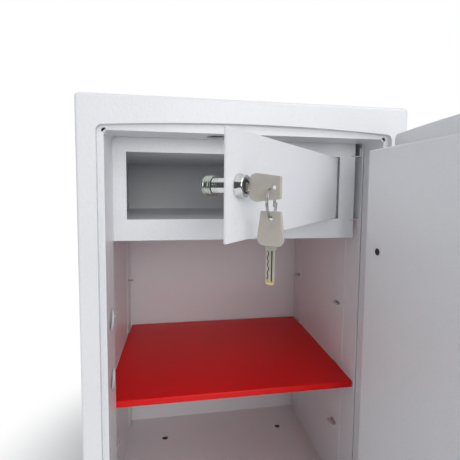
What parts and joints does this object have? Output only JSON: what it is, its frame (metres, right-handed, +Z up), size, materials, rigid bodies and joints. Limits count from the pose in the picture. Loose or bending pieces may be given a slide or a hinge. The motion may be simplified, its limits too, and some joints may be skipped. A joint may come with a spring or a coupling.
{
  "type": "security safe",
  "caption": "Steel security safe with a hinged main door, driven locking bolts, lockable inner locker and a lift-out shelf on lanced rails.",
  "frame": {"origin": "centre of the cabinet's underside, which stands on the floor", "axes": "+Z up, +Y to the back of the cabinet, +X to the right seen from the front"},
  "size_m": [0.4695, 0.7935, 0.69],
  "materials": {
    "cabinet_paint": "fine textured powder coat",
    "shelf_paint": "satin red powder coat",
    "chrome": "polished",
    "dark_plug": "satin black",
    "key_bow": "moulded",
    "key_blade": "nickel plated",
    "ring_steel": "polished wire",
    "zinc_steel": "zinc plated",
    "bolt_steel": "turned and plated",
    "dark_screw": "blackened",
    "handle_metal": "satin die cast"
  },
  "bodies": {
    "cabinet": {"outer_shell": "cabinet_paint", "back_panel": "cabinet_paint", "anchor_sleeves": "zinc_steel", "door_frame": "cabinet_paint", "liner": "cabinet_paint", "shelf_rails": "cabinet_paint", "locker_fascia": "cabinet_paint", "locker_floor": "cabinet_paint", "locker_ceiling": "cabinet_paint", "frame_knuckles": "zinc_steel", "hinge_pins": "zinc_steel"},
    "shelf": {"shelf": "shelf_paint"},
    "locker_door": {"locker_door": "cabinet_paint", "locker_pins": "zinc_steel", "lock_barrel": "chrome", "lock_nut": "chrome"},
    "lock_plug": {"lock_plug": "dark_plug", "lock_cam": "zinc_steel", "cam_screw": "zinc_steel", "inserted_key": "key_bow"},
    "key_ring": {"split_ring": "ring_steel"},
    "spare_key": {"spare_key": "key_bow"},
    "main_door": {"door_plate": "cabinet_paint", "door_pan": "cabinet_paint", "cover_posts": "zinc_steel", "cover_screws": "dark_screw", "door_knuckles": "zinc_steel", "side_guide": "zinc_steel", "end_guides": "zinc_steel", "rod_guides": "zinc_steel", "handle_rose": "handle_metal", "lock_case": "zinc_steel", "keyhole_plate": "handle_metal", "swing_pin": "zinc_steel"},
    "side_bolts": {"side_bar": "zinc_steel", "side_bolts": "bolt_steel", "bar_screws": "zinc_steel"},
    "top_bolt": {"top_rod": "zinc_steel", "top_bolt": "bolt_steel", "top_screw": "zinc_steel"},
    "bottom_bolt": {"bottom_rod": "zinc_steel", "bottom_bolt": "bolt_steel", "bottom_screw": "zinc_steel"},
    "handle": {"handle": "handle_metal", "spindle": "zinc_steel", "cam_plate": "zinc_steel"},
    "lock_bolt": {"lock_bolt": "zinc_steel"},
    "keyhole_cover": {"swing_cover": "handle_metal"}
  },
  "joints": [
    {"name": "shelf_lift", "type": "slide", "parent": "cabinet", "child": "shelf", "axis": [0, 0, 1], "range_m": [0, 0.06]},
    {"name": "locker_door_swing", "type": "hinge", "parent": "cabinet", "child": "locker_door", "pos_m": [0.1481, -0.1269, 0.576], "axis": [0, 0, -1], "range_deg": [0, 48.7]},
    {"name": "lock_plug_turn", "type": "hinge", "parent": "locker_door", "child": "lock_plug", "pos_m": [-0.04805, -0.35244, 0.576], "axis": [0.7513, -0.66, 0], "range_deg": [0, 180]},
    {"name": "key_ring_swing", "type": "hinge", "parent": "lock_plug", "child": "key_ring", "pos_m": [-0.02551, -0.37224, 0.575], "axis": [-0.66, -0.7513, 0], "range_deg": [0, 180]},
    {"name": "spare_key_swing", "type": "hinge", "parent": "key_ring", "child": "spare_key", "pos_m": [-0.02551, -0.37224, 0.55], "axis": [-0.66, -0.7513, 0], "range_deg": [-30, 30]},
    {"name": "main_door_swing", "type": "hinge", "parent": "cabinet", "child": "main_door", "pos_m": [0.208, -0.197, 0.345], "axis": [0, 0, 1], "range_deg": [-34, 90]},
    {"name": "handle_turn", "type": "hinge", "parent": "main_door", "child": "handle", "pos_m": [0.2005, -0.4495, 0.345], "axis": [1, 0, 0], "range_deg": [0, 90]},
    {"name": "side_bolts_throw", "type": "slide", "parent": "main_door", "child": "side_bolts", "axis": [0, -1, 0], "range_m": [0, 0.02]},
    {"name": "top_bolt_throw", "type": "slide", "parent": "main_door", "child": "top_bolt", "axis": [0, 0, 1], "range_m": [0, 0.02]},
    {"name": "bottom_bolt_throw", "type": "slide", "parent": "main_door", "child": "bottom_bolt", "axis": [0, 0, -1], "range_m": [0, 0.02]},
    {"name": "lock_bolt_throw", "type": "slide", "parent": "main_door", "child": "lock_bolt", "axis": [0, -1, 0], "range_m": [0, 0.008]},
    {"name": "keyhole_cover_swing", "type": "hinge", "parent": "main_door", "child": "keyhole_cover", "pos_m": [0.2005, -0.345, 0.36], "axis": [1, 0, 0], "range_deg": [-100, 100]}
  ],
  "couplings": [
    {"joint": "side_bolts_throw", "follows": "handle_turn", "m_per_rad": 0.012732},
    {"joint": "top_bolt_throw", "follows": "handle_turn", "m_per_rad": 0.012732},
    {"joint": "bottom_bolt_throw", "follows": "handle_turn", "m_per_rad": 0.012732},
    {"joint": "key_ring_swing", "follows": "lock_plug_turn", "ratio": 1}
  ]
}
